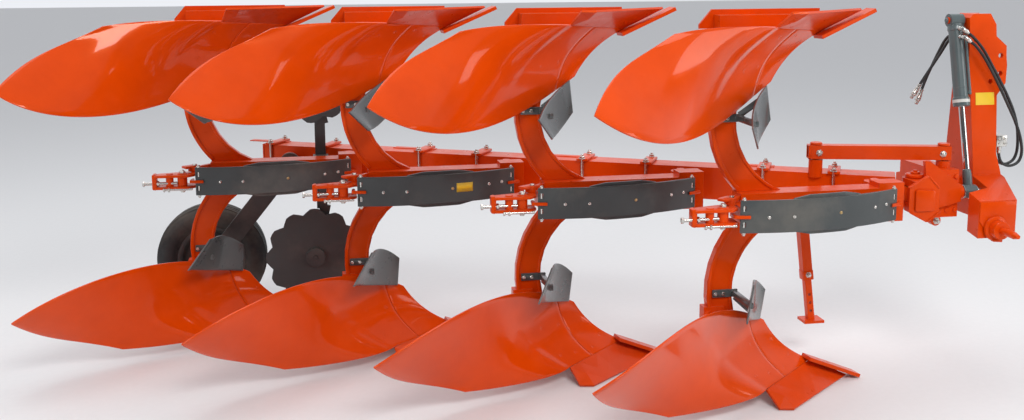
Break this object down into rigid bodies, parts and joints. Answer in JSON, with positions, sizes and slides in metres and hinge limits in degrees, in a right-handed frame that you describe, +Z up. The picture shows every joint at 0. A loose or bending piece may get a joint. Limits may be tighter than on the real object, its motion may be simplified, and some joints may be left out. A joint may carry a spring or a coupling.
{
  "type": "four-furrow mounted reversible moldboard plough",
  "caption": "Mounted reversible moldboard plough with curved orange boards above and below a diagonal beam, leaf-spring legs, headstock, turnover cylinder, disc coulters and a depth wheel.",
  "frame": {"origin": "centre of the bounding box on the ground the plough stands on", "axes": "+X is the direction of travel, +Y is left, +Z is up"},
  "size_m": [5.0768, 2.727, 1.86],
  "materials": {
    "cylinder": "satin grey-green paint",
    "dark": "satin dark grey paint",
    "hose": "black rubber hose",
    "orange": "glossy orange paint",
    "steel": "bright plated steel",
    "tyre": "matt black rubber"
  },
  "bodies": {
    "headstock": {"headstock": "orange", "cylinder_hose_far": "hose", "cylinder_hose_near": "hose", "supply_hose_far": "hose", "supply_hose_near": "hose", "valve_block": "steel", "supply_coupler_far": "steel", "supply_coupler_near": "steel"},
    "turning_head": {"turnover_head": "orange"},
    "width_link": {"width_link": "orange"},
    "beam": {"main_beam": "orange"},
    "stand": {"parking_stand": "orange"},
    "wheel_arm": {"wheel_arm": "dark"},
    "depth_wheel": {"depth_wheel_tyre": "tyre", "depth_wheel_rim": "dark"},
    "cylinder_barrel": {"cylinder_barrel": "cylinder"},
    "cylinder_rod": {"cylinder_rod": "steel"},
    "carrier_1": {"leg_carrier_1": "orange", "leaf_spring_1": "dark", "leg_lower_1": "orange", "moldboard_lower_1": "orange", "share_lower_1": "orange", "trash_board_lower_1": "dark", "leg_upper_1": "orange", "moldboard_upper_1": "orange", "share_upper_1": "orange", "trash_board_upper_1": "dark"},
    "carrier_2": {"leg_carrier_2": "orange", "leaf_spring_2": "dark", "leg_lower_2": "orange", "moldboard_lower_2": "orange", "share_lower_2": "orange", "trash_board_lower_2": "dark", "leg_upper_2": "orange", "moldboard_upper_2": "orange", "share_upper_2": "orange", "trash_board_upper_2": "dark"},
    "carrier_3": {"leg_carrier_3": "orange", "leaf_spring_3": "dark", "leg_lower_3": "orange", "moldboard_lower_3": "orange", "share_lower_3": "orange", "trash_board_lower_3": "dark", "leg_upper_3": "orange", "moldboard_upper_3": "orange", "share_upper_3": "orange", "trash_board_upper_3": "dark"},
    "carrier_4": {"leg_carrier_4": "orange", "leaf_spring_4": "dark", "leg_lower_4": "orange", "moldboard_lower_4": "orange", "share_lower_4": "orange", "trash_board_lower_4": "dark", "leg_upper_4": "orange", "moldboard_upper_4": "orange", "share_upper_4": "orange", "trash_board_upper_4": "dark", "disc_bracket": "dark"},
    "disc_lower": {"disc_coulter_lower": "dark"},
    "disc_upper": {"disc_coulter_upper": "dark"}
  },
  "joints": [
    {"name": "turnover", "type": "hinge", "parent": "headstock", "child": "turning_head", "pos_m": [2.15042, -0.29153, 0.93], "axis": [-1, 0, 0], "range_deg": [0, 180]},
    {"name": "furrow_width", "type": "hinge", "parent": "turning_head", "child": "beam", "pos_m": [1.95042, -0.45574, 0.93], "axis": [0, 0, 1], "range_deg": [-3.4, 9.7]},
    {"name": "width_link_pivot", "type": "hinge", "parent": "turning_head", "child": "width_link", "pos_m": [2.10542, -0.44653, 1.125], "axis": [0, 0, 1], "range_deg": [-2.61, 7.42]},
    {"name": "stand_slide", "type": "slide", "parent": "beam", "child": "stand", "axis": [0.1219, 0, -0.9925], "range_m": [-0.13, 0.2]},
    {"name": "wheel_arm_swing", "type": "hinge", "parent": "beam", "child": "wheel_arm", "pos_m": [-1.17958, 1.01347, 0.93], "axis": [0, 1, 0], "range_deg": [0, 102]},
    {"name": "depth_wheel_spin", "type": "hinge", "parent": "wheel_arm", "child": "depth_wheel", "pos_m": [-1.66958, 1.26347, 0.325], "axis": [0, 1, 0], "continuous": true},
    {"name": "cylinder_swing", "type": "hinge", "parent": "headstock", "child": "cylinder_barrel", "pos_m": [2.22542, -0.29153, 1.78], "axis": [1, 0, 0], "range_deg": [0, 26.49], "deforming": ["cylinder_hose_near", "cylinder_hose_far"]},
    {"name": "cylinder_stroke", "type": "slide", "parent": "cylinder_barrel", "child": "cylinder_rod", "axis": [0, 0.229, 0.9734], "range_m": [0, 0.22331]},
    {"name": "carrier_1_pivot", "type": "hinge", "parent": "beam", "child": "carrier_1", "pos_m": [1.71042, -0.49153, 0.93], "axis": [0, 0, 1], "range_deg": [-9.7, 3.4]},
    {"name": "carrier_2_pivot", "type": "hinge", "parent": "beam", "child": "carrier_2", "pos_m": [0.86042, -0.04153, 0.93], "axis": [0, 0, 1], "range_deg": [-9.7, 3.4]},
    {"name": "carrier_3_pivot", "type": "hinge", "parent": "beam", "child": "carrier_3", "pos_m": [0.01042, 0.40847, 0.93], "axis": [0, 0, 1], "range_deg": [-9.7, 3.4]},
    {"name": "carrier_4_pivot", "type": "hinge", "parent": "beam", "child": "carrier_4", "pos_m": [-0.83958, 0.85847, 0.93], "axis": [0, 0, 1], "range_deg": [-9.7, 3.4]},
    {"name": "disc_lower_spin", "type": "hinge", "parent": "carrier_4", "child": "disc_lower", "pos_m": [-1.04558, 0.87847, 0.393], "axis": [0, 1, 0], "continuous": true},
    {"name": "disc_upper_spin", "type": "hinge", "parent": "carrier_4", "child": "disc_upper", "pos_m": [-1.04558, 0.87847, 1.467], "axis": [0, 1, 0], "continuous": true}
  ],
  "couplings": [
    {"joint": "cylinder_swing", "follows": "turnover", "ratio": 0.14712},
    {"joint": "cylinder_stroke", "follows": "turnover", "m_per_rad": 0.071051},
    {"joint": "width_link_pivot", "follows": "furrow_width", "ratio": 0.7641},
    {"joint": "carrier_1_pivot", "follows": "furrow_width", "ratio": -1},
    {"joint": "carrier_2_pivot", "follows": "furrow_width", "ratio": -1},
    {"joint": "carrier_3_pivot", "follows": "furrow_width", "ratio": -1},
    {"joint": "carrier_4_pivot", "follows": "furrow_width", "ratio": -1}
  ]
}
